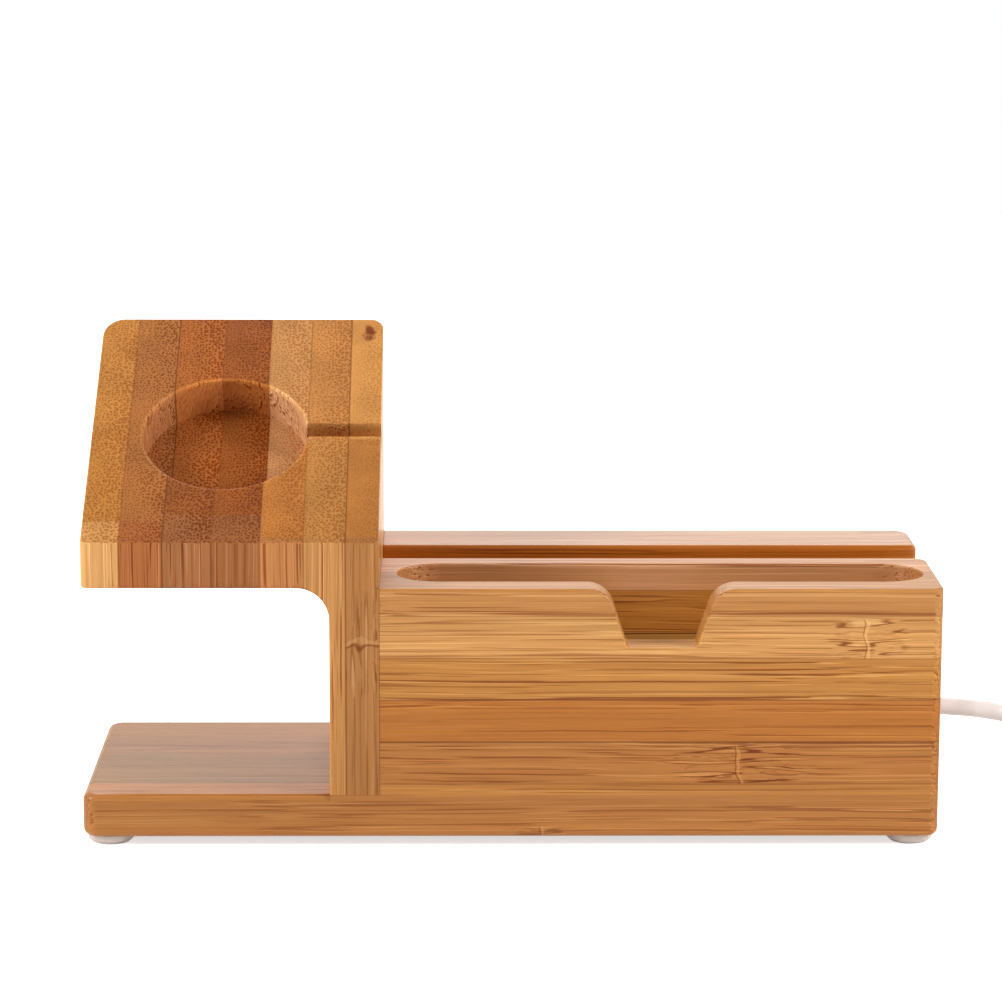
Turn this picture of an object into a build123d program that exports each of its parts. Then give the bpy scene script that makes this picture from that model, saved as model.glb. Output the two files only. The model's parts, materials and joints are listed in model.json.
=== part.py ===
"""Bamboo charging station organizer: watch stand, card block and phone rail on a base board.

Millimetres. X runs from the left end to the right, Y from the front to the back, Z up.
The origin is on the surface it stands on, under the middle of the object.
"""

import math
import os

from build123d import *

# Overall
length = 150.9
depth = 52.5
height = 86.85
foot_height = 1.6
base_thickness = 7.8

# Base board, glued up from strips
front_strip_width = 8.1
middle_strip_width = 20.6
base_corner_radius = 2.8
base_edge_radius = 1.4

# Watch block, glued up from upright staves: their widths beside each other share out its own width
watch_inset = 0.4
watch_width = 51.85
leg_width = 8.7
plate_front_height = 8.1
plate_rise = 32.25
arch_radius = 5.8
stave_shares = [6.65, 7.6, 8.5, 8.5, 7.5, 7.3, 5.8]
plate_front_radius = 1.2
plate_back_left_radius = 4.0
plate_back_right_radius = 2.2

# Pocket for the round watch charger, and the slot that its lead leaves by
pocket_radius = 14.7
pocket_depth = 7.4
pocket_from_left = 23.95
pocket_up_slope = 28.9
pocket_rim_radius = 0.5
lead_slot_width = 3.55
lead_slot_depth = 4.2
lead_slot_above_pocket = 0.85

# Card block and rail, milled from one blank of flat boards: they share out its height from below
board_shares = [2.0, 7.6, 7.6, 7.4, 7.6, 4.9]
card_block_depth = 26.5
card_front_wall = 6.5
card_back_wall = 5.1
card_left_wall = 3.0
card_right_wall = 2.2
groove_width = 11.5
milled_into_board = 2.5
end_front_radius = 2.0
end_inner_radius = 2.4
end_rail_radius = 1.2
end_back_radius = 3.0

# Finger notch in the card block's front wall
notch_width = 12.1
notch_above_seam = 2.1
notch_side_run = 3.5
notch_shoulder_radius = 4.8
notch_corner_radius = 0.6
notch_right_of_middle = 0.125

# Edges sanded round: those of the rail, and the finer ones of the plate, the slot and the notch
edge_radius = 1.0
rim_radius = 0.5

# Joint pegs, and the gap that the glue fills
peg_radius = 2.5
peg_length = 14.0
peg_in_base = 5.0
peg_inset = 11.9
peg_from_end = 9.0
glue_gap = 0.05

# Feet
foot_radius = 4.05
foot_bevel = 0.6
foot_from_end = 4.6
foot_from_side = 5.0

# Charging lead, and the channel that it is pressed into
cord_diameter = 3.2
cord_below_seam = 1.55
channel_width = 4.0
channel_gap = 0.1

# Angled dock plug that stands in the phone groove
dock_length = 11.4
dock_width = 6.2
dock_corner_radius = 1.4
dock_above_floor = 0.3
dock_gap = 0.3
tab_length = 6.7
tab_thickness = 1.6
tab_height = 6.8
pad_width = 0.4
pad_height = 2.6
pad_inset = 0.12
pad_from_top = 1.0
pad_spacing = 0.72
pad_count = 8

# USB plug on the far end
relief_length = 8.0
relief_radius = 2.5
usb_length = 17.0
usb_width = 15.0
usb_height = 7.2
usb_corner_radius = 1.8
shell_length = 18.75
shell_width = 12.0
shell_height = 4.5
shell_wall = 0.35
shell_corner_radius = 0.6
window_size = 2.2
window_from_tip = 6.5
window_spacing = 5.6
tongue_width = 11.0
tongue_thickness = 1.9
tongue_short = 0.6
contact_width = 1.0
contact_length = 8.5
contact_thickness = 0.15
contact_spacing = 2.3
contact_count = 4

# The free lead: points from where it leaves the block, and last a level run onto the coil
lead_route = [
    (0.0, 0.0, 0.0),
    (8.0, 0.0, 0.0),
    (19.5, 1.5, -2.35),
    (27.5, 5.6, -5.45),
    (35.0, 11.2, -9.25),
]
lead_last_run = 11.0

# Coil of the length that is put away: turns side by side, in two layers
coil_turns = 7
coil_mean_radius = 19.2
coil_pitch = 3.7
coil_layer_rise = 3.7
coil_from_end = 55.0
coil_from_middle = -4.0

# The tail, from the coil's end to the plug: it rises to the height that the plug takes it in at
tail_route = [
    (0.0, 0.0, 0.0),
    (6.5, 0.0, 0.0),
    (13.5, 1.2, 0.0),
    (19.5, 1.2, 0.0),
]

# The share of the shorter run that a bend in the lead takes up
bend_share = 0.45

# How far a cut runs past what it cuts, and how near an edge or face lies to where it is looked for
overrun = 2.0
near = 0.05

# Levels and planes that the pieces share
x_left = -length / 2
x_right = length / 2
y_front = -depth / 2
y_back = depth / 2
z_base = foot_height
z_board = z_base + base_thickness
z_plate_back = height
z_plate_front = z_plate_back - plate_rise
z_top = z_plate_front - plate_front_height
x_plate = x_left + watch_inset
x_watch = x_plate + watch_width
x_leg = x_watch - leg_width

y_strip_1 = y_front + front_strip_width
y_strip_2 = y_strip_1 + middle_strip_width

y_card = y_front + card_block_depth
y_rail = y_card + groove_width
y_groove = (y_card + y_rail) / 2
x_block = (x_watch + x_right) / 2
x_slot_left = x_watch + card_left_wall
x_slot_right = x_right - card_right_wall
y_wall = y_front + card_front_wall
y_slot_back = y_card - card_back_wall
card_slot_width = y_slot_back - y_wall

# The seams between the flat boards: the card slot ends in the second board, the groove in the fourth and
# the notch in the fifth
z_seams = [
    z_board + (z_top - z_board) * sum(board_shares[:count]) / sum(board_shares)
    for count in range(len(board_shares) + 1)
]
z_slot = z_seams[2] - milled_into_board
z_groove = z_seams[4] - milled_into_board
z_notch = z_seams[4] + notch_above_seam

cord_radius = cord_diameter / 2
z_cord = z_seams[2] - cord_below_seam
z_channel = z_cord - cord_radius - channel_gap
x_dock_right = x_block + dock_length / 2
z_dock = z_groove + dock_above_floor

coil_x = x_right + coil_from_end
coil_y = coil_from_middle
coil_outer_radius = coil_mean_radius + coil_pitch * coil_turns / 4

# The slanted face of the watch block, with its origin at the pocket's centre
slope = math.atan2(plate_rise, depth)
slanted = Plane(
    origin=(
        x_plate + pocket_from_left,
        y_front + pocket_up_slope * math.cos(slope),
        z_plate_front + pocket_up_slope * math.sin(slope),
    ),
    x_dir=(1, 0, 0),
    z_dir=(0, -math.sin(slope), math.cos(slope)),
)


def span(x0, x1, y0, y1, z0, z1):
    """A box between two corners."""
    low = (Align.MIN, Align.MIN, Align.MIN)
    return Pos(x0, y0, z0) * Box(x1 - x0, y1 - y0, z1 - z0, align=low)


def upright_edges(shape, x, y, z_low, z_high):
    """The upright edges of a shape at one corner of its plan, between two heights."""
    found = []
    for edge in shape.edges().filter_by(Axis.Z):
        middle = edge.center()
        if abs(middle.X - x) < near and abs(middle.Y - y) < near and z_low < middle.Z < z_high:
            found.append(edge)
    return found


def flat_faces(shape, direction, level):
    """The flat faces of a shape that look along Z, up or down, at one level."""
    found = []
    for face in shape.faces().filter_by(GeomType.PLANE):
        if face.normal_at().Z * direction > 1 - near and abs(face.center().Z - level) < near:
            found.append(face)
    return found


def rim(face, x_glued=None):
    """A face's outer edges, without the one that lies on the glued plane."""
    edges = face.outer_wire().edges()
    if x_glued is None:
        return list(edges)
    return [edge for edge in edges if abs(edge.center().X - x_glued) > near]


def pegs():
    """The joint pegs by name: two under the leg and two under the rail."""
    x_peg = x_leg + leg_width / 2
    places = {
        "leg_peg_front": (x_peg, (y_strip_1 + y_strip_2) / 2),
        "leg_peg_back": (x_peg, y_back - peg_inset),
        "rail_peg_left": (x_watch + peg_from_end, (y_rail + y_back) / 2),
        "rail_peg_right": (x_right - peg_from_end, (y_rail + y_back) / 2),
    }
    up = (Align.CENTER, Align.CENTER, Align.MIN)
    z_peg = z_board - peg_in_base
    return {
        name: Pos(x, y, z_peg) * Cylinder(peg_radius, peg_length, align=up)
        for name, (x, y) in places.items()
    }


def peg_holes():
    """The holes that the pegs are glued into."""
    holes = []
    for peg in pegs().values():
        box = peg.bounding_box()
        middle = box.center()
        hole = Cylinder(peg_radius + glue_gap, box.size.Z + 2 * glue_gap)
        holes.append(Pos(middle.X, middle.Y, middle.Z) * hole)
    return holes


def base_board():
    """The whole base board, rounded with a stub of what stands on it, so that its edge stays square there."""
    board = span(x_left, x_right, y_front, y_back, z_base, z_board)
    board += span(x_leg, x_right, y_front, y_back, z_board, z_board + base_thickness)
    for x, y, radius in (
        (x_left, y_front, base_corner_radius),
        (x_left, y_back, base_corner_radius),
        (x_right, y_front, end_front_radius),
        (x_right, y_back, end_back_radius),
    ):
        board = fillet(upright_edges(board, x, y, z_base, z_top), radius)
    board = fillet(rim(flat_faces(board, -1, z_base)[0]), base_edge_radius)
    board = fillet(rim(flat_faces(board, 1, z_board)[0], x_leg), base_edge_radius)
    board &= span(x_left, x_right, y_front, y_back, z_base, z_board)
    for hole in peg_holes():
        board -= hole
    return board


def watch_block():
    """The whole watch block: a wedge on a leg, with a pocket and a slot in its slanted face."""
    outline = Polyline(
        (x_plate, y_front, z_top),
        (x_plate, y_front, z_plate_front),
        (x_plate, y_back, z_plate_back),
        (x_plate, y_back, z_top),
        close=True,
    )
    block = extrude(make_face(outline), amount=watch_width, dir=(1, 0, 0))
    block += span(x_leg, x_right, y_front, y_back, z_board, z_top)
    arch = [
        edge
        for edge in block.edges().filter_by(Axis.Y)
        if abs(edge.center().X - x_leg) < near and abs(edge.center().Z - z_top) < near
    ]
    block = fillet(arch, arch_radius)
    for x, y, radius in (
        (x_plate, y_front, plate_front_radius),
        (x_plate, y_back, plate_back_left_radius),
        (x_watch, y_front, plate_front_radius),
        (x_watch, y_back, plate_back_right_radius),
    ):
        block = fillet(upright_edges(block, x, y, z_top, z_plate_back), radius)
    face = max(block.faces().filter_by(GeomType.PLANE), key=lambda f: f.center().Z)
    block = fillet(rim(face), rim_radius)
    under = flat_faces(block, -1, z_top)[0]
    block = fillet(rim(under, x_leg - arch_radius), rim_radius)
    block &= span(x_left, x_watch, y_front, y_back, z_board, z_plate_back)

    down = (Align.CENTER, Align.CENTER, Align.MAX)
    pocket = slanted * Cylinder(pocket_radius, pocket_depth, align=down)
    pocket += slanted * Cylinder(pocket_radius, overrun, align=(Align.CENTER, Align.CENTER, Align.MIN))
    slot_run = x_watch - slanted.origin.X + overrun
    slot = Pos(slot_run / 2, lead_slot_above_pocket, (overrun - lead_slot_depth) / 2)
    slot = slanted * slot * Box(slot_run, lead_slot_width, overrun + lead_slot_depth)
    block = block - pocket - slot
    pocket_rim = [
        edge
        for edge in block.edges().filter_by(GeomType.CIRCLE)
        if abs(edge.radius - pocket_radius) < near and abs(slanted.to_local_coords(edge @ 0.5).Z) < near
    ]
    block = fillet(pocket_rim, pocket_rim_radius)
    for hole in peg_holes():
        block -= hole
    return block


def notch():
    """The finger notch, as what it takes out of the front wall."""
    x = x_block + notch_right_of_middle
    y = y_front - overrun
    low = notch_width / 2
    high = low + notch_side_run
    far = high + notch_width
    sides = FilletPolyline(
        (x - far, y, z_top),
        (x - high, y, z_top),
        (x - low, y, z_notch),
        (x + low, y, z_notch),
        (x + high, y, z_top),
        (x + far, y, z_top),
        radius=[notch_shoulder_radius, notch_corner_radius, notch_corner_radius, notch_shoulder_radius],
    )
    lid = Polyline(
        (x - far, y, z_top),
        (x - far, y, z_top + overrun),
        (x + far, y, z_top + overrun),
        (x + far, y, z_top),
    )
    through = overrun + card_front_wall + card_slot_width / 2
    return extrude(make_face(sides.edges() + lid.edges()), amount=through, dir=(0, 1, 0))


def card_block():
    """The card block and the rail behind it, still in one piece, with all that is milled into them."""
    block = span(x_watch, x_right, y_front, y_back, z_board, z_top)
    block -= span(x_watch, x_right + overrun, y_card, y_rail, z_groove, z_top + overrun)
    for x, y, radius in (
        (x_right, y_front, end_front_radius),
        (x_right, y_card, end_inner_radius),
        (x_right, y_rail, end_rail_radius),
        (x_right, y_back, end_back_radius),
    ):
        block = fillet(upright_edges(block, x, y, z_board, z_top), radius)

    slot_length = x_slot_right - x_slot_left
    slot = SlotOverall(slot_length, card_slot_width)
    slot = Pos((x_slot_left + x_slot_right) / 2, (y_wall + y_slot_back) / 2, z_slot) * slot
    block -= extrude(slot, amount=z_top + overrun - z_slot, dir=(0, 0, 1))
    block -= notch()
    block = fillet(block_rims(block, in_slot=False), rim_radius)
    block = fillet(block_rims(block, in_slot=True), rim_radius)
    rail_top = max(flat_faces(block, 1, z_top), key=lambda f: f.center().Y)
    block = fillet(rim(rail_top, x_watch), edge_radius)

    side = channel_width / 2
    block -= span(x_block, x_right + overrun, y_groove - side, y_groove + side, z_channel, z_groove + overrun)
    well_x = dock_length / 2 + dock_gap
    well_y = dock_width / 2 + dock_gap
    well = span(x_block - well_x, x_block + well_x, y_groove - well_y, y_groove + well_y, z_channel, z_groove)
    block -= well
    for hole in peg_holes():
        block -= hole
    return block


def block_rims(block, in_slot):
    """The card block's sharp edges round its top and its notch: those of the card slot, or the outer ones."""
    found = []
    for edge in block.edges():
        box = edge.bounding_box()
        if box.max.X < x_watch + near or box.min.Y > y_card + near:
            continue
        by_slot = (
            box.min.X > x_slot_left - near
            and box.max.X < x_slot_right + near
            and box.min.Y > y_wall - near
            and box.max.Y < y_slot_back + near
        )
        y_plane = y_wall if in_slot else y_front
        in_plane = box.size.Y < near and abs(box.min.Y - y_plane) < near
        at_notch = in_plane and box.min.Z > z_notch - near
        at_top = box.size.Z < near and abs(box.min.Z - z_top) < near
        if at_notch or (at_top and by_slot == in_slot):
            found.append(edge)
    return found


def base_strips():
    """The strips that the base board is glued up from, front to back."""
    board = base_board()
    seams = [y_front, y_strip_1, y_strip_2, y_back]
    return {
        f"base_strip_{name}": board & span(x_left, x_right, low, high, z_base, z_board)
        for name, low, high in zip(("front", "middle", "back"), seams, seams[1:])
    }


def watch_staves():
    """The upright staves that the watch block is glued up from, left to right."""
    block = watch_block()
    scale = watch_width / sum(stave_shares)
    staves = {}
    low = x_plate
    for number, share in enumerate(stave_shares, 1):
        high = low + share * scale
        staves[f"watch_stave_{number}"] = block & span(low, high, y_front, y_back, z_board, z_plate_back)
        low = high
    return staves


def card_block_boards():
    """The flat boards of the card block. The groove parts the upper ones into a front and a rail piece."""
    block = card_block()
    boards = {}
    for number, (low, high) in enumerate(zip(z_seams, z_seams[1:]), 1):
        layer = block & span(x_watch, x_right, y_front, y_back, low, high)
        pieces = sorted(layer.solids(), key=lambda s: s.center().Y)
        if len(pieces) == 1:
            boards[f"card_block_board_{number}"] = pieces[0]
        else:
            boards[f"card_block_front_board_{number}"] = pieces[0]
            boards[f"rail_board_{number}"] = pieces[-1]
    return boards


def feet():
    """Stick-on bumper feet, one near each corner, narrower where they stand."""
    x_foot = x_right - foot_from_end
    y_foot = y_back - foot_from_side
    foot = Cylinder(foot_radius, foot_height, align=(Align.CENTER, Align.CENTER, Align.MIN))
    foot = chamfer(foot.edges().group_by(Axis.Z)[0], foot_bevel)
    return {
        f"foot_{y_name}_{x_name}": Pos(x, y, 0) * foot
        for x_name, x in (("left", -x_foot), ("right", x_foot))
        for y_name, y in (("front", -y_foot), ("back", y_foot))
    }


def dock_plug():
    """The angled plug that stands in the groove, with the lead leaving it to the right."""
    half_x = dock_length / 2
    half_y = dock_width / 2
    shell = span(x_block - half_x, x_block + half_x, y_groove - half_y, y_groove + half_y, z_channel, z_dock)
    shell = fillet(shell.edges().filter_by(Axis.Z), dock_corner_radius)

    tab = Pos(x_block, y_groove, z_dock) * SlotOverall(tab_length, tab_thickness)
    tab = extrude(tab, amount=tab_height, dir=(0, 0, 1))
    tab = fillet(tab.edges().group_by(Axis.Z)[-1], tab_thickness / 4)
    y_face = y_groove - tab_thickness / 2
    z_pad = z_dock + tab_height - pad_from_top
    first = x_block - pad_spacing * (pad_count - 1) / 2
    pads = []
    for number in range(pad_count):
        x = first + number * pad_spacing
        sides = (x - pad_width / 2, x + pad_width / 2)
        pad = span(*sides, y_face, y_face + pad_inset, z_pad - pad_height, z_pad)
        tab -= pad
        pads.append(pad)
    return {"dock_plug_body": shell, "dock_plug_tab": tab, "dock_plug_contacts": Compound(pads)}


def tube(route):
    """A round cord along a route: straight runs joined by the widest arcs that they allow."""
    points = [Vector(*point) for point in route]
    runs = [b - a for a, b in zip(points, points[1:])]
    radii = [
        bend_share * min(a.length, b.length) / math.tan(math.radians(a.get_angle(b)) / 2)
        for a, b in zip(runs, runs[1:])
    ]
    print("bend radii", [round(radius, 1) for radius in radii])
    path = FilletPolyline(*points, radius=radii) if radii else Line(*points)
    return swept(path, points[0], runs[0])


def swept(path, start, heading):
    """A cord's round section swept along a path, with its volume set against section times length."""
    solid = sweep(Plane(origin=start, z_dir=heading) * Circle(cord_radius), path=path)
    share = solid.volume / (math.pi * cord_radius**2 * path.length)
    print("length", round(path.length, 1), "volume as a share of section by length", round(share, 4))
    return solid


def coil_point(turns):
    """Where the coil is after so many turns: in along the upper layer, down, and out along the lower one."""
    radius = coil_outer_radius - coil_pitch * min(turns, coil_turns - turns)
    fallen = min(max(2 * turns - coil_turns + 0.5, 0), 1)
    z = cord_radius + coil_layer_rise * (1 + math.cos(math.pi * fallen)) / 2
    angle = math.pi / 2 - 2 * math.pi * turns
    return Vector(coil_x + radius * math.cos(angle), coil_y + radius * math.sin(angle), z)


def biarc(start, start_heading, end, end_heading):
    """Two arcs that leave one point along its heading, meet smoothly and reach another along its own."""
    chord = end - start
    along = chord.dot(start_heading + end_heading)
    spread = 2 * (1 - start_heading.dot(end_heading))
    reach = (math.sqrt(along**2 + spread * chord.dot(chord)) - along) / spread
    near_start = start + start_heading * reach
    near_end = end - end_heading * reach
    joint = (near_start + near_end) / 2
    middle_heading = (near_end - near_start).normalized()
    return [
        TangentArc(start, joint, tangent=start_heading),
        TangentArc(joint, end, tangent=middle_heading),
    ]


def coil():
    """The coil as one unbroken tube, on a pair of arcs for each quarter turn."""
    quarters = coil_turns * 4
    step = 0.01
    stations = [coil_point(number / 4) for number in range(quarters + 1)]
    headings = [
        (coil_point(number / 4 + step) - coil_point(number / 4 - step)).normalized()
        for number in range(1, quarters)
    ]
    headings = [Vector(1, 0, 0)] + headings + [Vector(1, 0, 0)]
    arcs = []
    for number in range(quarters):
        arcs += biarc(stations[number], headings[number], stations[number + 1], headings[number + 1])
    path = Wire([arc.edge() for arc in arcs])
    print("least gap in the coil", round(least_gap(path), 2))
    return swept(path, stations[0], headings[0])


def least_gap(path):
    """The least gap between a coil's turns, on points along it."""
    per_turn = 72
    count = coil_turns * per_turn
    points = [path @ (number / count) for number in range(count + 1)]
    return min(
        (a - b).length - cord_diameter
        for number, a in enumerate(points)
        for b in points[number + per_turn // 2 :]
    )


def usb_plug(x, y):
    """The plug on the lead's far end, lying on the surface and pointing right."""
    z = usb_height / 2
    relief = Plane(origin=(x, y, z), z_dir=(1, 0, 0)) * Cone(
        cord_radius, relief_radius, relief_length, align=(Align.CENTER, Align.CENTER, Align.MIN)
    )
    x_body = x + relief_length
    x_shell = x_body + usb_length
    x_tip = x_shell + shell_length
    side = usb_width / 2
    moulding = span(x_body, x_shell, y - side, y + side, 0, usb_height)
    moulding = fillet(moulding.edges().filter_by(Axis.X), usb_corner_radius)
    moulding = fillet(moulding.faces().sort_by(Axis.X)[0].edges(), usb_corner_radius)

    half_w = shell_width / 2
    half_h = shell_height / 2
    shell = span(x_shell, x_tip, y - half_w, y + half_w, z - half_h, z + half_h)
    shell = fillet(shell.edges().filter_by(Axis.X), shell_corner_radius)
    inner_w = half_w - shell_wall
    inner_h = half_h - shell_wall
    shell -= span(x_shell, x_tip, y - inner_w, y + inner_w, z - inner_h, z + inner_h)
    x_window = x_tip - window_from_tip
    half = window_size / 2
    for y_window in (y - window_spacing / 2, y + window_spacing / 2):
        sides = (x_window - half, x_window + half, y_window - half, y_window + half)
        shell -= span(*sides, 0, usb_height)

    z_tongue = z + inner_h - tongue_thickness
    half_tongue = tongue_width / 2
    x_end = x_tip - tongue_short
    tongue = span(x_shell, x_end, y - half_tongue, y + half_tongue, z_tongue, z_tongue + tongue_thickness)
    contacts = []
    first = y - contact_spacing * (contact_count - 1) / 2
    for number in range(contact_count):
        y_contact = first + number * contact_spacing
        low = y_contact - contact_width / 2
        x_contact = x_end - tongue_short - contact_length
        contact = Pos(x_contact, low, z_tongue) * Box(
            contact_length, contact_width, contact_thickness, align=(Align.MIN, Align.MIN, Align.MIN)
        )
        tongue -= contact
        contacts.append(contact)
    return {
        "usb_plug_body": moulding + relief,
        "usb_plug_shell": shell,
        "usb_plug_tongue": tongue,
        "usb_plug_contacts": Compound(contacts),
    }


def cord():
    """The charging lead, from the dock plug out through the channel to its coil and its far plug."""
    inner = tube([(x_dock_right, y_groove, z_cord), (x_right, y_groove, z_cord)])
    coil_start = coil_point(0)
    coil_end = coil_point(coil_turns)
    lead = [(x_right + x, y_groove + y, z_cord + z) for x, y, z in lead_route]
    lead += [(coil_start.X - lead_last_run, coil_start.Y, coil_start.Z), tuple(coil_start)]
    tail = [(coil_end.X + x, coil_end.Y + y, coil_end.Z + z) for x, y, z in tail_route]
    tail[-2:] = [(x, y, usb_height / 2) for x, y, _ in tail[-2:]]
    nodes = {"cord_inner": inner, "cord_lead": tube(lead), "cord_coil": coil(), "cord_tail": tube(tail)}
    nodes.update(usb_plug(*tail[-1][:2]))
    return nodes


def main():
    """Make every piece and write each to a file of its own."""
    nodes = {}
    for make in (base_strips, watch_staves, card_block_boards, pegs, feet, dock_plug, cord):
        nodes.update(make())
    os.makedirs("parts", exist_ok=True)
    for name, shape in nodes.items():
        export_step(shape, f"parts/{name}.step")


if __name__ == "__main__":
    main()
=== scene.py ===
"""Looks of the bamboo charging station organizer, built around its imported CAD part.

Metres in the part's own frame: X runs to the right, Y to the back and Z up from the surface it stands on.
Inside the wood's texture lengths are in millimetres.
"""

import json
import math

import bpy
from mathutils import Matrix, Vector


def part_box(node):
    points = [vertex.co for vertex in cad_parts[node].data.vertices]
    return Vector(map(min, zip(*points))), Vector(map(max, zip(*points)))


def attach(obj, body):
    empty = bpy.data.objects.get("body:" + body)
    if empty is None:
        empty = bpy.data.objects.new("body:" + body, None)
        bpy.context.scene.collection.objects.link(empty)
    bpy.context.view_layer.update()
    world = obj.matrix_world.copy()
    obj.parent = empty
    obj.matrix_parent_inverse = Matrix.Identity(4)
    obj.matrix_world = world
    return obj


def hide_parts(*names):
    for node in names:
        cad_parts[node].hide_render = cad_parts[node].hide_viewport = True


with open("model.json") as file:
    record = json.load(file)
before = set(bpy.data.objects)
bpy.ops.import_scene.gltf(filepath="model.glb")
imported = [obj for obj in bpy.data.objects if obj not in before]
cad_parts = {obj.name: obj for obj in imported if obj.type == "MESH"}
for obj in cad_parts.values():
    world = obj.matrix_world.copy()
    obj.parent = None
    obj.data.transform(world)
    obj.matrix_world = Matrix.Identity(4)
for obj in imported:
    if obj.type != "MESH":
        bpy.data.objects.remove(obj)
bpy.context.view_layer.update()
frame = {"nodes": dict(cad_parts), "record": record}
nodes = frame["nodes"]

# The photograph's width in pixels, and its camera: focal length in pixels, place, and turns in radians
image_width = 1002
focal_length = 3512.54
camera_place = Vector((-0.01083, -0.62311, 0.17668))
camera_pitch = 0.1897
camera_yaw = 0.0148
camera_roll = -0.0033
sensor_width = 36.0
clip_start = 0.01
clip_end = 100

# The free lead, as part.py has it
cord_diameter = 0.0032
cord_exit = (0.07545, 0.006, 0.01745)
lead_points = [
    cord_exit,
    (0.08345, 0.006, 0.01745),
    (0.09495, 0.0075, 0.0151),
    (0.10295, 0.0116, 0.0120),
    (0.11045, 0.0172, 0.0082),
    (0.11945, 0.021675, 0.0053),
]
tail_points = [
    (0.13695, 0.021675, 0.0016),
    (0.14395, 0.022875, 0.0036),
    (0.14995, 0.022875, 0.0036),
]
coil_centre = (0.13045, -0.004)
coil_turns = 7
coil_outer_radius = 0.025675
coil_pitch = 0.0037
coil_layer_rise = 0.0037
coil_points_per_turn = 16

# How finely its curve is drawn: steps round it and along it, and how smoothly it follows its points
cord_section_steps = 5
cord_line_steps = 6
cord_curve_order = 3

# How many millimetres a metre has, for the wood's texture
millimetres = 1000.0


def screen(red, green, blue):
    """A colour as a shader takes it, from its value on a screen, by the curve that screens share."""

    def channel(value):
        share = value / 255
        return share / 12.92 if share <= 0.04045 else ((share + 0.055) / 1.055) ** 2.4

    return (channel(red), channel(green), channel(blue), 1.0)


class Graph:
    """Adds nodes to a shader tree. An input is another node's output, or a plain value."""

    def __init__(self, tree):
        self.tree = tree

    def put(self, socket, value):
        if isinstance(value, bpy.types.NodeSocket):
            self.tree.links.new(value, socket)
        else:
            socket.default_value = value

    def fill(self, node, inputs):
        for name, value in inputs.items():
            self.put(node.inputs[name], value)

    def add(self, kind, inputs=None, **settings):
        node = self.tree.nodes.new("ShaderNode" + kind)
        for name, value in settings.items():
            setattr(node, name, value)
        self.fill(node, inputs or {})
        return node

    def math(self, operation, *values):
        return self.add("Math", dict(enumerate(values)), operation=operation).outputs[0]

    def product(self, first, *others):
        """All the values multiplied."""
        for other in others:
            first = self.math("MULTIPLY", first, other)
        return first

    def distance(self, first, second):
        """How far apart two values are."""
        return self.math("ABSOLUTE", self.math("SUBTRACT", first, second))

    def vector(self, operation, *values):
        node = self.add("VectorMath", dict(enumerate(values)), operation=operation)
        return node.outputs["Value" if operation in ("DOT_PRODUCT", "LENGTH") else "Vector"]

    def scaled(self, vector, scale):
        return self.add("VectorMath", {0: vector, "Scale": scale}, operation="SCALE").outputs[0]

    def rise(self, value, low, high, start=0.0, end=1.0):
        """start below low, end above high, and a smooth rise between them."""
        inputs = {"Value": value, "From Min": low, "From Max": high, "To Min": start, "To Max": end}
        return self.add("MapRange", inputs, interpolation_type="SMOOTHSTEP").outputs["Result"]

    def blend(self, share, first, second, mode="MIX"):
        node = self.add("Mix", {0: share, 6: first, 7: second}, data_type="RGBA", blend_type=mode)
        return node.outputs[2]

    def tinted(self, colour, tint):
        """A colour times a tint, which is red, green and blue shares of it."""
        return self.blend(1.0, colour, (*tint, 1.0), "MULTIPLY")

    def noise(self, vector, scale, detail, roughness, output="Fac"):
        inputs = {"Vector": vector, "Scale": scale, "Detail": detail, "Roughness": roughness}
        return self.add("TexNoise", inputs).outputs[output]

    def moved_noise(self, vector, shift, noise):
        """A noise that doesn't repeat another one of the same place."""
        return self.noise(self.vector("ADD", vector, shift), *noise)

    def swing(self, vector, noise):
        """A noise in three directions, to both sides of nothing."""
        middle = (0.5, 0.5, 0.5)
        return self.vector("SUBTRACT", self.noise(vector, *noise, "Color"), middle)


def new_material(name):
    """A new material, its graph and its shader."""
    material = bpy.data.materials.new(name)
    material.use_nodes = True
    return material, Graph(material.node_tree), material.node_tree.nodes["Principled BSDF"]


# Bamboo. Places are squeezed along the fibres, so that what is round across them is long along them.
fibre_squeeze = (1, 1, 0.014)
line_squeeze = (1, 1, 0.005)
fine_squeeze = (1, 1, 0.02)
loop_squeeze = (1, 1, 0.08)

# Its noises: how many waves they have to a millimetre, their detail and their roughness
wander_noise = (0.016, 1, 0.5)
swirl_noise = (0.16, 2, 0.5)
crowd_noise = (0.13, 2, 0.5)
patch_noise = (0.4, 2, 0.5)
strength_noise = (0.24, 1, 0.5)
line_noise = (2.2, 2, 0.6)
streak_noise = (1.2, 4, 0.7)
broad_noise = (0.17, 2, 0.5)
fine_noise = (3.4, 2, 0.6)
loop_noise = (1.3, 0, 0.5)
bend_noise = (0.22, 1, 0.5)

# How far its noises are moved, so that none repeats another, and how far its fibres wander: in millimetres
patch_shift = (5, 9, 2)
strength_shift = (31, 17, 5)
beside_shift = (0.16, 0.16, 0)
streak_shift = (13, 5, 71)
broad_shift = (53, 29, 3)
wander_reach = 1.4
swirl_reach = 1.5
loop_wander_reach = 2.6
bend_reach = 5.0

# Its bundles of fibres: how many to a millimetre, how far out of rows, and where a dot starts to fade and has
# faded, as shares of its size
bundle_density = 1.7
bundle_disorder = 0.8
dot_core_share = 0.65
dot_edge_share = 1.35

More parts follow.
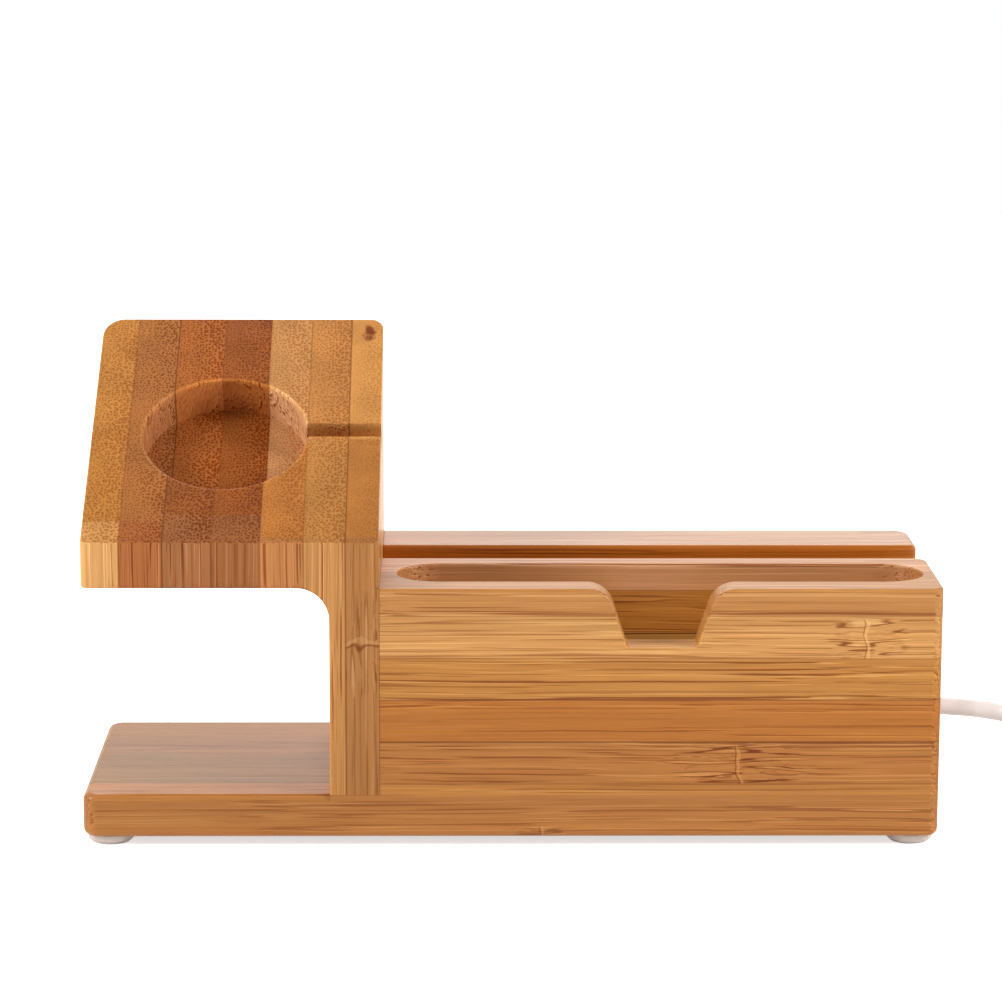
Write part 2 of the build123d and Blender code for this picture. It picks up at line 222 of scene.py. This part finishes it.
# Its smooth rises: the two values that each lies between, and what it rises from and to if not from 0 to 1
crowd_rise = (0.3, 0.7, 0.85, 1.15)
dot_luck_rise = (0, 0.5, 0.7, 1)
bundle_rise = (0.1, 0.3, 1, 0)
bundle_luck_rise = (0.3, 0.9, 0.1, 1)
patch_rise = (0.35, 0.6)
strength_rise = (0.35, 0.52, 0.3, 1)
line_rise = (0.55, 0.61)
streak_rise = (0.36, 0.66)
broad_rise = (0.3, 0.7, 0.91, 1.09)
fine_rise = (0.3, 0.7, 0.94, 1.06)
end_grain_rise = (0.55, 0.8)

# A knuckle: how it fades out as a share of its size, and how its loops and its bar come in with it
knuckle_rise = (0.3, 1, 1, 0)
near_rise = (0.1, 0.6)
bar_length_rise = (0.25, 0.8)

# Its loops: the level of their noise that draws them, how they fade from it, the level of their cores, and
# how dark a strip's lines are where loops come in
loop_level = 0.59
loop_rise = (0.02, 0.06, 1, 0)
core_rise = (0.65, 0.7)
loop_line_rise = (0.2, 0.8)

# The bar across it, and the dark line beside the bar's middle, in millimetres along the fibres
bar_rise = (0.15, 0.55, 1, 0)
bar_edge_offset = 0.5
bar_edge_rise = (0.06, 0.22, 1, 0)

# Its colours, as tints of a strip's own tone, and how much of each is laid on
plain_tint = (1.2, 1.3, 1.5)
dark_tint = (0.94, 0.86, 0.82)
darker_tint = (0.65, 0.47, 0.36)
darkest_tint = (0.45, 0.26, 0.13)
dot_tint = (0.55, 0.29, 0.06)
scored_tint = (0.52, 0.31, 0.18)
light_tint = (1.6, 2.05, 2.9)
streak_share = 0.6
end_streak_share = 0.1
bundle_share = 0.5
beside_share = 0.7
knuckle_share = 0.35
core_share = 0.55
bar_share = 0.45
bar_edge_share = 0.7

# Its surface: how rough, and how deep a bundle and a line lie against a dot
smooth_roughness = 0.27
streak_roughness = 0.08
end_grain_roughness = 0.12
bundle_relief = -0.3
line_relief = -0.6

# What it is given and what it makes, and of which kind each is
bamboo_inputs = {
    "Place": "Vector",
    "Shift": "Vector",
    "Facing": "Float",
    "Tone": "Color",
    "Dots": "Float",
    "Dot size": "Float",
    "Lines": "Float",
    "Knuckle": "Vector",
    "Knuckle size": "Vector",
}
bamboo_outputs = {"Color": "Color", "Roughness": "Float", "Height": "Float"}


def bundles(g, given, shifted, fibre):
    """The bundles of fibres as dots and as lines: one to each cell, and some darker than others."""
    cell = g.add(
        "TexVoronoi",
        {"Vector": fibre, "Scale": bundle_density, "Randomness": bundle_disorder},
        voronoi_dimensions="2D",
    )
    from_bundle = cell.outputs["Distance"]
    luck = g.add("SeparateColor", {0: cell.outputs["Color"]}).outputs[0]
    crowd = g.rise(g.noise(shifted, *crowd_noise), *crowd_rise)
    size = g.product(given["Dot size"], crowd)
    dot = g.rise(from_bundle, g.product(size, dot_core_share), g.product(size, dot_edge_share), 1, 0)
    dot = g.product(dot, given["Dots"], g.rise(luck, *dot_luck_rise))
    patch = g.rise(g.moved_noise(fibre, patch_shift, patch_noise), *patch_rise)
    bundle = g.product(g.rise(from_bundle, *bundle_rise), g.rise(luck, *bundle_luck_rise), patch)
    return dot, bundle


def sharp_lines(g, fibre, straight):
    """Sharp lines, and a pale one beside each."""
    strength = g.rise(g.moved_noise(fibre, strength_shift, strength_noise), *strength_rise)
    line = g.rise(g.noise(straight, *line_noise), *line_rise)
    beside = g.rise(g.moved_noise(straight, beside_shift, line_noise), *line_rise)
    beside = g.product(beside, g.math("SUBTRACT", 1.0, line), strength)
    return g.product(line, strength), beside


def knuckle_loops(g, shifted, wander):
    """The short slim loops that the fibres break into in a knuckle, and the pale core of each."""
    place = g.vector("ADD", g.vector("MULTIPLY", shifted, loop_squeeze), g.scaled(wander, loop_wander_reach))
    height = g.noise(place, *loop_noise)
    return g.rise(g.distance(height, loop_level), *loop_rise), g.rise(height, *core_rise)


def knuckle_bar(g, shifted, from_knuckle, knuckle):
    """The pale bar across a knuckle, and its dark edge."""
    bend = g.product(g.noise(shifted, *bend_noise), bend_reach)
    along = g.add("SeparateXYZ", {0: from_knuckle}).outputs["Z"]
    along = g.math("ADD", along, g.math("SUBTRACT", bend, bend_reach / 2))
    inner = g.rise(knuckle, *bar_length_rise)
    bar = g.product(g.rise(g.math("ABSOLUTE", along), *bar_rise), inner)
    edge = g.rise(g.math("ABSOLUTE", g.math("ADD", along, bar_edge_offset)), *bar_edge_rise)
    return bar, g.product(edge, inner)


def side_grain(g, given, knuckle, streak, bundle, sharp, loops, bars):
    """The colour along the fibres, which is paler than end grain. sharp are the lines and the pale ones
    beside them, loops are the loops and their cores, and bars are the bar and its edge."""
    tone = given["Tone"]
    lines = given["Lines"]
    line, beside = sharp
    loop, core = loops
    bar, bar_edge = bars
    near = g.rise(knuckle, *near_rise)
    plain = g.tinted(tone, plain_tint)
    light = g.tinted(tone, light_tint)
    scored = g.tinted(tone, scored_tint)
    colour = g.blend(g.product(streak, lines, streak_share), plain, g.tinted(tone, dark_tint))
    colour = g.blend(g.product(bundle, lines, bundle_share), colour, g.tinted(tone, darker_tint))
    colour = g.blend(g.product(beside, lines, beside_share), colour, light)
    colour = g.blend(g.product(line, lines), colour, scored)
    colour = g.blend(g.product(knuckle, knuckle_share), colour, plain)
    loop = g.product(loop, g.rise(lines, *loop_line_rise), near)
    colour = g.blend(loop, colour, g.tinted(tone, darkest_tint))
    colour = g.blend(g.product(core, near, core_share), colour, light)
    colour = g.blend(g.product(bar, bar_share), colour, light)
    return g.blend(g.product(bar_edge, bar_edge_share), colour, scored)


def end_grain(g, given, streak, dot):
    """The colour across the fibres, with a dot for each bundle."""
    tone = given["Tone"]
    colour = g.blend(g.product(streak, end_streak_share), tone, g.tinted(tone, dark_tint))
    return g.blend(dot, colour, g.tinted(tone, dot_tint))


def bamboo_group():
    """Bamboo in the solid, in millimetres, with its fibres along Z. Its bundles of fibres show as dots where
    a face cuts across them and as lines where it runs along them."""
    tree = bpy.data.node_groups.new("bamboo", "ShaderNodeTree")
    for way, sockets in (("INPUT", bamboo_inputs), ("OUTPUT", bamboo_outputs)):
        for name, kind in sockets.items():
            tree.interface.new_socket(name, in_out=way, socket_type="NodeSocket" + kind)
    g = Graph(tree)
    given = tree.nodes.new("NodeGroupInput").outputs
    result = tree.nodes.new("NodeGroupOutput").inputs

    shifted = g.vector("ADD", given["Place"], given["Shift"])
    from_knuckle = g.vector("SUBTRACT", given["Place"], given["Knuckle"])
    away = g.vector("LENGTH", g.vector("DIVIDE", from_knuckle, given["Knuckle size"]))
    knuckle = g.rise(away, *knuckle_rise)

    wander = g.swing(shifted, wander_noise)
    swirl = g.scaled(g.swing(shifted, swirl_noise), g.product(knuckle, swirl_reach))
    drift = g.vector("ADD", g.scaled(wander, wander_reach), swirl)
    fibre = g.vector("ADD", g.vector("MULTIPLY", shifted, fibre_squeeze), drift)
    straight = g.vector("ADD", g.vector("MULTIPLY", shifted, line_squeeze), drift)

    dot, bundle = bundles(g, given, shifted, fibre)
    sharp = sharp_lines(g, fibre, straight)
    loops = knuckle_loops(g, shifted, wander)
    bars = knuckle_bar(g, shifted, from_knuckle, knuckle)
    streak = g.rise(g.moved_noise(fibre, streak_shift, streak_noise), *streak_rise)
    side = side_grain(g, given, knuckle, streak, bundle, sharp, loops, bars)
    end = end_grain(g, given, streak, dot)
    across = g.rise(given["Facing"], *end_grain_rise)

    broad = g.rise(g.moved_noise(fibre, broad_shift, broad_noise), *broad_rise)
    fine = g.rise(g.noise(g.vector("MULTIPLY", shifted, fine_squeeze), *fine_noise), *fine_rise)
    shade = g.product(broad, fine)
    grey = g.add("CombineColor", {0: shade, 1: shade, 2: shade}).outputs[0]
    g.put(result["Color"], g.blend(1.0, g.blend(across, side, end), grey, "MULTIPLY"))

    rough = g.math("ADD", g.product(streak, streak_roughness), smooth_roughness)
    g.put(result["Roughness"], g.math("ADD", rough, g.product(across, end_grain_roughness)))
    relief = g.math("ADD", g.product(bundle, bundle_relief), g.product(sharp[0], line_relief))
    g.put(result["Height"], g.math("SUBTRACT", relief, g.product(dot, across)))
    return tree


bamboo = bamboo_group()

# The orders of a place's parts in the wood's texture, which has the fibres' axis last
upright = "XYZ"
lengthways = "YZX"

# A knuckle that is out of the way: its place, and its size each way
no_knuckle = ((0, 0, -1), (0.001, 0.001, 0.001))

# Each piece of wood is cut from another place, so many millimetres further on in the texture
piece_shift = (37.0, 23.0, 51.0)

# A strip's dots at the side that was inside the stem and at its rind, as shares of their size
rind_dot_shares = (0.75, 1.2)

# The finish on the wood: its gloss, its thin coat as a share of that, how rough the coat is, and the relief
wood_gloss = 0.13
stave_gloss = 0.05
coat_share = 0.2
coat_roughness = 0.2
bump_strength = 0.3
bump_height = 0.0001

# Half the length of a change from one tone to the next: at once, and slowly across the card slot
sharp_fade = 0.00015
slot_fade = 0.004

# Painted light in the round pocket: its floor and walls are made paler, as if more light reached into the
# hollow, and its rim gets a painted highlight. Places are up from the face it is cut into.
pocket_painted_light_tint = (1.1, 1.16, 1.5)
rim_painted_highlight_tint = (1.3, 1.4, 1.6)
rim_bottom = -0.0012
rim_top = -0.0006
pocket_light_edge_shares = (1.01, 1.03)
rim_beyond_wall = 0.0002
rim_highlight_rise = (0.0001, 0.0005, 1, 0)

# A dark knot, and the glue in a seam
knot_colour = (112, 46, 8)
knot_noise = (700, 3, 0.6)
knot_roughness = 1.6
knot_rise = (1.0, 1.6, 0.95, 0)
glue_colour = (104, 54, 24)
glue_inner = 0.00006
glue_outer = 0.0002


def turned(vector, axes):
    """A vector in millimetres with its parts in the wood's order."""
    return tuple(vector["XYZ".index(axis)] * millimetres for axis in axes)


def toned(g, y, tones, fade):
    """A strip's tone: the first colour, and each later one from its place along Y on."""
    tone = screen(*tones[0])
    for start, colour in tones[1:]:
        tone = g.blend(g.rise(y, start - fade, start + fade), tone, screen(*colour))
    return tone


def paint_pocket_light(g, object_place, tone, centre, axis, radius):
    """The tone with painted light: paler inside the pocket, and a painted highlight along its rim."""
    from_centre = g.vector("SUBTRACT", object_place, centre)
    height = g.vector("DOT_PRODUCT", from_centre, axis)
    away = g.vector("LENGTH", g.vector("SUBTRACT", from_centre, g.scaled(axis, height)))
    inner, outer = (share * radius for share in pocket_light_edge_shares)
    # Painted light on the pocket's floor and walls
    inside = g.product(g.rise(height, rim_bottom, rim_top, 1, 0), g.rise(away, inner, outer, 1, 0))
    tone = g.blend(inside, tone, g.tinted(tone, pocket_painted_light_tint))
    # Painted highlight along the pocket's rim
    from_rim = g.distance(away, radius + rim_beyond_wall)
    rim = g.product(g.rise(height, rim_bottom, rim_top), g.rise(from_rim, *rim_highlight_rise))
    return g.blend(rim, tone, g.tinted(tone, rim_painted_highlight_tint))


def knotted(g, object_place, colour, centre, size):
    """The colour with a dark knot on it, with a ragged edge."""
    away = g.vector("LENGTH", g.vector("DIVIDE", g.vector("SUBTRACT", object_place, centre), size))
    blot = g.math("ADD", away, g.product(g.noise(object_place, *knot_noise), knot_roughness))
    return g.blend(g.rise(blot, *knot_rise), colour, screen(*knot_colour))


def glued(g, place, colour, seams):
    """The colour with a thin line of glue in each seam."""
    for axis, level, darkness in seams:
        glue = g.rise(g.distance(place[axis], level), glue_inner, glue_outer, darkness, 0)
        colour = g.blend(glue, colour, screen(*glue_colour))
    return colour


def wood(
    name,
    tones,
    axes,
    number,
    dots=0.5,
    dot_size=0.3,
    lines=0.6,
    knuckle=no_knuckle,
    knot=None,
    rind=None,
    seams=(),
    fade=sharp_fade,
    gloss=wood_gloss,
    pocket=None,
):
    """One strip's bamboo. tones are a colour, and then pairs of a place along Y and the colour from there on.
    axes is the order of a place's parts, and number sets which place of the wood the strip is cut from. dots
    and lines are how dark those are. rind is the X where its dots are small, and the X where they are large.
    seams are an axis, a place and how dark its glue is. pocket is a round pocket's centre, its axis and its
    radius, where painted light goes inside it and a painted highlight along its rim."""
    material, g, shader = new_material(name)
    object_place = g.add("TexCoord").outputs["Object"]
    place = g.add("SeparateXYZ", {0: object_place}).outputs
    normal = g.add("SeparateXYZ", {0: g.add("NewGeometry").outputs["Normal"]}).outputs
    tone = toned(g, place["Y"], tones, fade)
    # Painted light inside the pocket and a painted highlight on its rim
    if pocket:
        tone = paint_pocket_light(g, object_place, tone, *pocket)
    if rind:
        dot_size = g.rise(place["X"], *rind, *[share * dot_size for share in rind_dot_shares])
    in_order = g.add("CombineXYZ", {part: place[axis] for part, axis in enumerate(axes)}).outputs[0]
    grain_inputs = {
        "Place": g.scaled(in_order, millimetres),
        "Shift": tuple(number * step for step in piece_shift),
        "Facing": g.math("ABSOLUTE", normal[axes[-1]]),
        "Tone": tone,
        "Dots": dots,
        "Dot size": dot_size,
        "Lines": lines,
        "Knuckle": turned(knuckle[0], axes),
        "Knuckle size": turned(knuckle[1], axes),
    }
    grain = g.add("Group", node_tree=bamboo)
    g.fill(grain, grain_inputs)
    colour = grain.outputs["Color"]
    if knot:
        colour = knotted(g, object_place, colour, *knot)
    height = grain.outputs["Height"]
    bump = g.add("Bump", {"Height": height, "Strength": bump_strength, "Distance": bump_height})
    shader_inputs = {
        "Base Color": glued(g, place, colour, seams),
        "Roughness": grain.outputs["Roughness"],
        "Normal": bump.outputs["Normal"],
        "Specular IOR Level": gloss,
        "Coat Weight": coat_share * gloss,
        "Coat Roughness": coat_roughness,
    }
    g.fill(shader, shader_inputs)
    return material


# Moulded and metal surfaces: the detail and roughness of their grain's noise, how far the grain changes how
# rough they are, how high it stands, and the faint patches in their colour, so many grains wide
grain_noise = (3, 0.6)
grain_rise = (0.2, 0.8)
grain_rough_swing = 0.06
grain_height = 0.00005
grains_per_patch = 12
plastic_patch_noise = (2, 0.5)
plastic_patch_rise = (0.3, 0.7)
plastic_patch_shade = 0.94


def plastic(name, colour, roughness, grain, transmission=0.0, metallic=0.0, relief=0.15):
    """A moulded or plain metal finish. grain is how many fine grains it has to a millimetre."""
    material, g, shader = new_material(name)
    place = g.scaled(g.add("TexCoord").outputs["Object"], millimetres)
    fine = g.noise(place, grain, *grain_noise)
    patch = g.rise(g.noise(place, grain / grains_per_patch, *plastic_patch_noise), *plastic_patch_rise)
    shaded = [plastic_patch_shade * channel for channel in colour]
    rough_ends = (roughness - grain_rough_swing, roughness + grain_rough_swing)
    bump = g.add("Bump", {"Height": fine, "Strength": relief, "Distance": grain_height})
    shader_inputs = {
        "Base Color": g.blend(patch, screen(*colour), screen(*shaded)),
        "Roughness": g.rise(fine, *grain_rise, *rough_ends),
        "Normal": bump.outputs["Normal"],
        "Metallic": metallic,
        "Transmission Weight": transmission,
    }
    g.fill(shader, shader_inputs)
    return material


def dress(name, material):
    """Gives a CAD node its material."""
    slots = nodes[name].data.materials
    slots.clear()
    slots.append(material)


# Staves, left to right: tones from front to back, how dark and how large the dots are, how dark the lines are
stave_looks = [
    ([(195, 140, 80), (-0.0216, (180, 120, 55)), (-0.001, (185, 125, 60))], 0.75, 0.34, 1.0),
    ([(155, 90, 45), (-0.0216, (160, 100, 50)), (0.0205, (165, 105, 50))], 1.0, 0.29, 1.0),
    ([(145, 90, 50), (-0.0200, (140, 80, 35)), (-0.005, (165, 95, 40))], 1.0, 0.35, 0.9),
    ([(140, 85, 45), (-0.0200, (145, 80, 30)), (0.0205, (145, 80, 35))], 1.0, 0.31, 1.0),
    ([(170, 110, 60), (-0.0250, (175, 110, 50)), (-0.003, (185, 130, 75))], 0.7, 0.31, 1.0),
    ([(175, 120, 65), (-0.0250, (175, 120, 60)), (-0.003, (185, 125, 65))], 0.72, 0.33, 1.0),
    ([(160, 105, 55), (-0.0250, (170, 110, 50)), (-0.003, (195, 135, 70))], 0.5, 0.24, 0.5),
]
stave_seam_darkness = [0.35, 0.8, 0.3, 0.25, 0.35, 0.65]

# The last stave's knuckle, on the leg, and its knot, on the slanted face: each one's place and size
leg_knuckle = ((-0.0262, -0.026, 0.0365), (0.0055, 0.010, 0.012))
plate_knot = ((-0.0258, 0.0226, 0.0841), (0.0017, 0.0032, 0.0040))


def watch_pocket():
    """The pocket's centre in the slanted face, its axis and its radius. Its mount is halfway down it."""
    mount = next(mount for mount in frame["record"]["mounts"] if mount["name"] == "watch_pocket")
    axis = Vector(mount["axis"])
    centre = Vector(mount["pos_m"]) + axis * mount["dims"]["length_mm"] / 2 / millimetres
    return centre, axis, mount["dims"]["r_mm"] / millimetres


def dress_staves():
    """The watch block's staves. The side where a stave's dots are large is its right one."""
    pocket = watch_pocket()
    last = len(stave_looks)
    boxes = [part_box(f"watch_stave_{number}") for number in range(1, last + 1)]
    seams = [("X", box[1].x, darkness) for box, darkness in zip(boxes, stave_seam_darkness)]
    for number, ((tones, dots, dot_size, lines), box) in enumerate(zip(stave_looks, boxes), 1):
        look = wood(
            f"stave_{number}",
            tones,
            upright,
            number,
            dots,
            dot_size,
            lines,
            knuckle=leg_knuckle if number == last else no_knuckle,
            knot=plate_knot if number == last else None,
            rind=[corner.x for corner in box],
            seams=seams,
            gloss=stave_gloss,
            pocket=pocket,
        )
        dress(f"watch_stave_{number}", look)


# Boards of the card block and rail, from below: tones from front to back, how dark the lines are, and a
# knuckle where one shows. The tone changes slowly across the card slot, and at once at the rail's top. The
# rail's front, down in the groove, is toned darker than its top: painted shade.
first_board_number = 11
slot_middle = -0.0115
rail_top_behind_front = 0.0005
rail_top_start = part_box("rail_board_6")[0].y + rail_top_behind_front
board_looks = {
    "card_block_board_1": ([(170, 110, 50)], 0.55, no_knuckle),
    "card_block_board_2": ([(160, 100, 45)], 0.75, ((0.0400, -0.027, 0.0146), (0.017, 0.010, 0.0056))),
    "card_block_board_3": ([(160, 95, 35)], 0.65, no_knuckle),
    "card_block_board_4": ([(175, 115, 50)], 0.9, no_knuckle),
    "card_block_front_board_5": (
        [(180, 125, 65), (slot_middle, (185, 115, 45))],
        0.7,
        ((0.0620, -0.027, 0.0375), (0.010, 0.010, 0.0055)),
    ),
    "card_block_front_board_6": ([(165, 110, 55), (slot_middle, (190, 130, 80))], 0.8, no_knuckle),
    # rail_board_5's tone and rail_board_6's tone in front of its top are their own tones darkened for painted
    # shade in the groove
    "rail_board_5": ([(160, 100, 40)], 0.7, no_knuckle),
    "rail_board_6": ([(165, 90, 25), (rail_top_start, (185, 140, 105))], 0.8, no_knuckle),
}

# How dark the glue is: above each of the lower four boards, under the top one, and against the watch block
board_seam_darkness = [0.35, 0.8, 0.6, 0.3]
top_seam_darkness = 0.2
block_seam_darkness = 0.8


def dress_boards():
    """The boards of the card block and the rail."""
    seams = [
        ("Z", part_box(f"card_block_board_{number}")[1].z, darkness)
        for number, darkness in enumerate(board_seam_darkness, 1)
    ]
    seams.append(("Z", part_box("rail_board_5")[1].z, top_seam_darkness))
    seams.append(("X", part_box("card_block_board_1")[0].x, block_seam_darkness))
    for number, (name, (tones, lines, knuckle)) in enumerate(board_looks.items(), first_board_number):
        fade = slot_fade if name.startswith("card_block_front") else sharp_fade
        look = wood(name, tones, lengthways, number, lines=lines, knuckle=knuckle, seams=seams, fade=fade)
        dress(name, look)


# Strips of the base board, front to back: their tone, and a knuckle where one shows
first_strip_number = 21
strip_looks = {
    "base_strip_front": ((165, 105, 50), ((0.0051, -0.0265, 0.0022), (0.006, 0.006, 0.002))),
    "base_strip_middle": ((145, 100, 50), no_knuckle),
    "base_strip_back": ((150, 100, 50), no_knuckle),
}
strip_lines = 0.55
strip_seam_darkness = 0.5


def dress_strips():
    """The strips of the base board."""
    seams = [("Y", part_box(f"base_strip_{name}")[1].y, strip_seam_darkness) for name in ("front", "middle")]
    for number, (name, (tone, knuckle)) in enumerate(strip_looks.items(), first_strip_number):
        dress(name, wood(name, [tone], lengthways, number, lines=strip_lines, knuckle=knuckle, seams=seams))


# The joint pegs: their wood is paler
peg_number = 31
peg_tone = (206, 150, 96)
peg_dot_size = 0.28


def dress_pegs():
    """The four hidden joint pegs."""
    look = wood("peg", [peg_tone], upright, peg_number, dot_size=peg_dot_size)
    for name in ("leg_peg_front", "leg_peg_back", "rail_peg_left", "rail_peg_right"):
        dress(name, look)


def dress_feet():
    """The four bumper feet."""
    bumper = plastic("bumper", (215, 200, 190), roughness=0.4, grain=1.0, transmission=0.2, relief=0.02)
    for depth in ("front", "back"):
        for side in ("left", "right"):
            dress(f"foot_{depth}_{side}", bumper)


def dress_plugs():
    """The dock plug and the USB plug."""
    moulding = plastic("moulding", (232, 228, 225), roughness=0.35, grain=5.0, relief=0.08)
    steel = plastic("steel", (196, 198, 202), roughness=0.28, grain=4.0, metallic=1.0)
    gold = plastic("gold", (214, 172, 98), roughness=0.3, grain=6.0, metallic=1.0)
    for name in ("dock_plug_body", "usb_plug_body", "usb_plug_tongue"):
        dress(name, moulding)
    for name in ("dock_plug_tab", "usb_plug_shell"):
        dress(name, steel)
    for name in ("dock_plug_contacts", "usb_plug_contacts"):
        dress(name, gold)


dress_staves()
dress_boards()
dress_strips()
dress_pegs()
dress_feet()
dress_plugs()
jacket = plastic("jacket", (238, 230, 225), roughness=0.42, grain=3.0, relief=0.08)
dress("cord_inner", jacket)


def coil_point(turns):
    """Where the coil is after so many turns: in along the upper layer, down, and out along the lower one."""
    radius = coil_outer_radius - coil_pitch * min(turns, coil_turns - turns)
    fallen = min(max(2 * turns - coil_turns + 0.5, 0), 1)
    z = cord_diameter / 2 + coil_layer_rise * (1 + math.cos(math.pi * fallen)) / 2
    angle = math.pi / 2 - 2 * math.pi * turns
    return (coil_centre[0] + radius * math.cos(angle), coil_centre[1] + radius * math.sin(angle), z)


def lead():
    """The free lead on one smooth curve, from the block to its plug."""
    steps = coil_turns * coil_points_per_turn
    coil_points = [coil_point(step / coil_points_per_turn) for step in range(steps + 1)]
    points = lead_points + coil_points + tail_points
    curve = bpy.data.curves.new("lead", "CURVE")
    curve.dimensions = "3D"
    curve.bevel_depth = cord_diameter / 2
    curve.bevel_resolution = cord_section_steps
    curve.resolution_u = cord_line_steps
    curve.use_fill_caps = True
    spline = curve.splines.new("NURBS")
    spline.points.add(len(points) - 1)
    for control, point in zip(spline.points, points):
        control.co = (*point, 1.0)
    spline.order_u = cord_curve_order
    spline.use_endpoint_u = True
    piece = bpy.data.objects.new("lead", curve)
    bpy.context.scene.collection.objects.link(piece)
    curve.materials.append(jacket)
    return piece


cord = lead()
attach(cord, "root")
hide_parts("cord_lead", "cord_coil", "cord_tail")


def add_camera():
    """The photograph's camera."""
    forward = Vector(
        (
            math.sin(camera_yaw) * math.cos(camera_pitch),
            math.cos(camera_yaw) * math.cos(camera_pitch),
            -math.sin(camera_pitch),
        )
    )
    level_right = Vector((math.cos(camera_yaw), -math.sin(camera_yaw), 0))
    level_down = forward.cross(level_right)
    right = level_right * math.cos(camera_roll) + level_down * math.sin(camera_roll)
    down = level_down * math.cos(camera_roll) - level_right * math.sin(camera_roll)
    data = bpy.data.cameras.new("camera")
    data.sensor_width = sensor_width
    data.lens = focal_length / image_width * sensor_width
    data.clip_start = clip_start
    data.clip_end = clip_end
    camera = bpy.data.objects.new("camera", data)
    turn = Matrix((right, -down, -forward)).transposed().to_4x4()
    camera.matrix_world = Matrix.Translation(camera_place) @ turn
    bpy.context.scene.collection.objects.link(camera)
    bpy.context.scene.camera = camera


# The studio: its floor, and how bright the white room is as light and where it is seen
white = (1, 1, 1, 1)
floor_size = 3.2
floor_place = (0, -0.6, 0)
floor_colour = (0.9, 0.9, 0.9, 1)
floor_roughness = 0.9
floor_gloss = 0.1
floor_glow = 0.65
room_light = 0.33
room_seen = 1.0

# A lamp that lights the floor in front alone, so that the floor lights the front
wash_place = (0, -0.22, 0.36)
wash_length = 0.5
wash_width = 0.1
wash_spread = math.radians(50)
wash_power = 0.45

# The square lamps: their name, place, size and power, and what they point at
lamps = [
    ("left", (-0.85, -0.27, 0.52), 0.4, 8.2),
    ("right", (0.85, -0.27, 0.52), 0.4, 7.6),
    ("back", (0.0, 0.85, 0.75), 0.6, 6.0),
]
lamp_target = Vector((0.0, 0.0, 0.03))


def seen_white(g):
    """1 where the camera, a reflection or a view through glass sees a surface, and 0 where it only lights."""
    path = g.add("LightPath").outputs
    mirrored = g.math("MAXIMUM", path["Is Glossy Ray"], path["Is Transmission Ray"])
    return g.math("MAXIMUM", path["Is Camera Ray"], mirrored)


def lay_floor():
    """A plain pale floor that fades into the room, and keeps the object's shadow."""
    bpy.ops.mesh.primitive_plane_add(size=floor_size, location=floor_place)
    floor = bpy.context.object
    floor.name = "floor"
    material, g, shader = new_material("floor")
    shader_inputs = {
        "Base Color": floor_colour,
        "Roughness": floor_roughness,
        "Specular IOR Level": floor_gloss,
        "Emission Color": white,
        "Emission Strength": g.product(seen_white(g), floor_glow),
    }
    g.fill(shader, shader_inputs)
    floor.data.materials.append(material)


def add_room():
    """A white room all round."""
    world = bpy.data.worlds.new("studio")
    world.use_nodes = True
    bpy.context.scene.world = world
    g = Graph(world.node_tree)
    strength = g.rise(seen_white(g), 0, 1, room_light, room_seen)
    g.fill(world.node_tree.nodes["Background"], {"Color": white, "Strength": strength})


def add_lamp(name, place, size, power):
    """A soft square lamp that points straight down."""
    data = bpy.data.lights.new(name, "AREA")
    data.size = size
    data.energy = power
    lamp = bpy.data.objects.new(name, data)
    lamp.location = place
    bpy.context.scene.collection.objects.link(lamp)
    return lamp


def add_lamps():
    """The wash on the floor, and the lamps round the object, each turned to it."""
    wash = add_lamp("wash", wash_place, wash_length, wash_power)
    wash.data.shape = "RECTANGLE"
    wash.data.size_y = wash_width
    wash.data.spread = wash_spread
    for name, place, size, power in lamps:
        lamp = add_lamp(name, place, size, power)
        lamp.rotation_euler = (lamp_target - Vector(place)).to_track_quat("-Z", "Y").to_euler()


bpy.context.scene.view_settings.view_transform = "Standard"
add_camera()
lay_floor()
add_room()
add_lamps()
